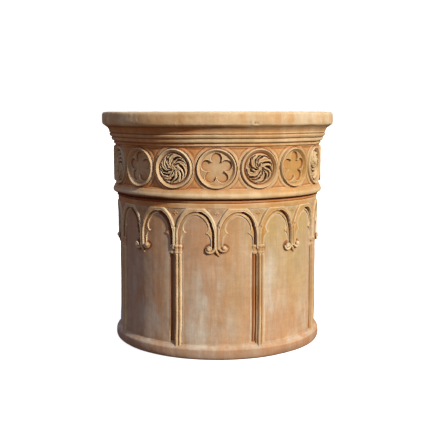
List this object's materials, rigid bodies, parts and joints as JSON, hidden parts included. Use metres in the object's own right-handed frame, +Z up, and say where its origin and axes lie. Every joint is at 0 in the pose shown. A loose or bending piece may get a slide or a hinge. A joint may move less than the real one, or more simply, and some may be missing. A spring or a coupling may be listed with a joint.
{
  "type": "garden planter",
  "caption": "Round terracotta garden planter with a moulded rim, a frieze of tracery roundels and a blind arcade of trefoil arches.",
  "frame": {"origin": "on the pot's axis, at the ground face of the base plinth", "axes": "+Z up along the pot's axis; -Y is the front, through a cinquefoil roundel and a pendant; +X to the right seen from the front"},
  "size_m": [0.6, 0.6, 0.592],
  "materials": {
    "moulding_clay": "matt unglazed terracotta, sun-bleached",
    "wall_clay": "matt unglazed terracotta, with salt bloom near the ground",
    "ornament_clay": "matt unglazed terracotta, worn pale on its edges",
    "inner_clay": "matt unglazed terracotta, unweathered"
  },
  "bodies": {
    "root": {"arcade_band": "moulding_clay", "base_plinth": "wall_clay", "capital_1": "ornament_clay", "capital_2": "ornament_clay", "capital_3": "ornament_clay", "capital_4": "ornament_clay", "capital_5": "ornament_clay", "capital_6": "ornament_clay", "capital_7": "ornament_clay", "capital_8": "ornament_clay", "cinquefoil_roundel_1": "ornament_clay", "cinquefoil_roundel_2": "ornament_clay", "cinquefoil_roundel_3": "ornament_clay", "cinquefoil_roundel_4": "ornament_clay", "cinquefoil_roundel_5": "ornament_clay", "cinquefoil_roundel_6": "ornament_clay", "cinquefoil_roundel_7": "ornament_clay", "cinquefoil_roundel_8": "ornament_clay", "colonnette_1": "ornament_clay", "colonnette_2": "ornament_clay", "colonnette_3": "ornament_clay", "colonnette_4": "ornament_clay", "colonnette_5": "ornament_clay", "colonnette_6": "ornament_clay", "colonnette_7": "ornament_clay", "colonnette_8": "ornament_clay", "cornice": "moulding_clay", "floor_slab": "inner_clay", "frieze_wall": "moulding_clay", "lower_wall": "wall_clay", "pendant_1": "ornament_clay", "pendant_2": "ornament_clay", "pendant_3": "ornament_clay", "pendant_4": "ornament_clay", "pendant_5": "ornament_clay", "pendant_6": "ornament_clay", "pendant_7": "ornament_clay", "pendant_8": "ornament_clay", "rim": "moulding_clay", "spandrel_leaves": "ornament_clay", "string_course": "moulding_clay", "tracery_bay_1": "ornament_clay", "tracery_bay_2": "ornament_clay", "tracery_bay_3": "ornament_clay", "tracery_bay_4": "ornament_clay", "tracery_bay_5": "ornament_clay", "tracery_bay_6": "ornament_clay", "tracery_bay_7": "ornament_clay", "tracery_bay_8": "ornament_clay", "whirl_roundel_1": "ornament_clay", "whirl_roundel_2": "ornament_clay", "whirl_roundel_3": "ornament_clay", "whirl_roundel_4": "ornament_clay", "whirl_roundel_5": "ornament_clay", "whirl_roundel_6": "ornament_clay", "whirl_roundel_7": "ornament_clay", "whirl_roundel_8": "ornament_clay"}
  },
  "joints": []
}
